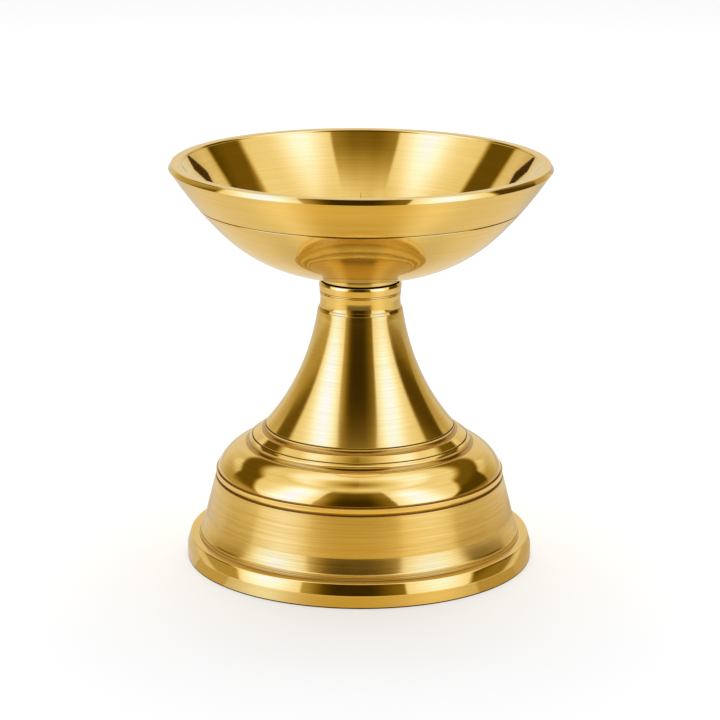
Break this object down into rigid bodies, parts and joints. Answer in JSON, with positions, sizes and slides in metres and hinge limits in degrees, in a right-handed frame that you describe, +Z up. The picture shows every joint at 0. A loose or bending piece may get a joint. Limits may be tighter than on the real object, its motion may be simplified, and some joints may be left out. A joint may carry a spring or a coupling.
{
  "type": "butter lamp",
  "caption": "Turned brass butter lamp: a wide shallow bowl with a wick pin screws onto a hollow trumpet stem that stands on a domed, stepped round base.",
  "frame": {"origin": "on the table, at the centre of the foot ring's underside", "axes": "+Z up along the lamp's axis; the lamp is round, so X and Y are any two level directions"},
  "size_m": [0.09, 0.09, 0.0958],
  "materials": {
    "brass_polished": "lathe-turned and polished, fine rings all round",
    "brass_brushed": "satin, brushed round the axis",
    "brass_thread": "as cut",
    "brass_plate": "rolled sheet, dull",
    "black_fibre": "matt, pressed fibre",
    "steel": "plain bright zinc"
  },
  "bodies": {
    "stand": {"foot_ring": "brass_polished", "drum": "brass_brushed", "shoulder": "brass_polished", "step_ring": "brass_polished", "stem": "brass_polished", "neck_collar": "brass_brushed", "tie_rod": "steel", "rod_nut": "steel", "rod_washer": "steel", "base_plate": "brass_plate"},
    "washer": {"seat_washer": "black_fibre"},
    "bowl": {"bowl": "brass_polished", "bowl_stud": "brass_thread"},
    "wick": {"wick_pin": "brass_thread"}
  },
  "joints": [
    {"name": "bowl_lift", "type": "slide", "parent": "stand", "child": "washer", "axis": [0, 0, 1], "range_m": [0, 0.0075]},
    {"name": "bowl_turn", "type": "hinge", "parent": "washer", "child": "bowl", "pos_m": [0, 0, 0.0678], "axis": [0, 0, 1], "range_deg": [0, 2160]},
    {"name": "wick_pin_pull", "type": "slide", "parent": "bowl", "child": "wick", "axis": [0, 0, 1], "range_m": [0, 0.025]}
  ],
  "couplings": [
    {"joint": "bowl_lift", "follows": "bowl_turn", "m_per_rad": 0.00019894}
  ]
}
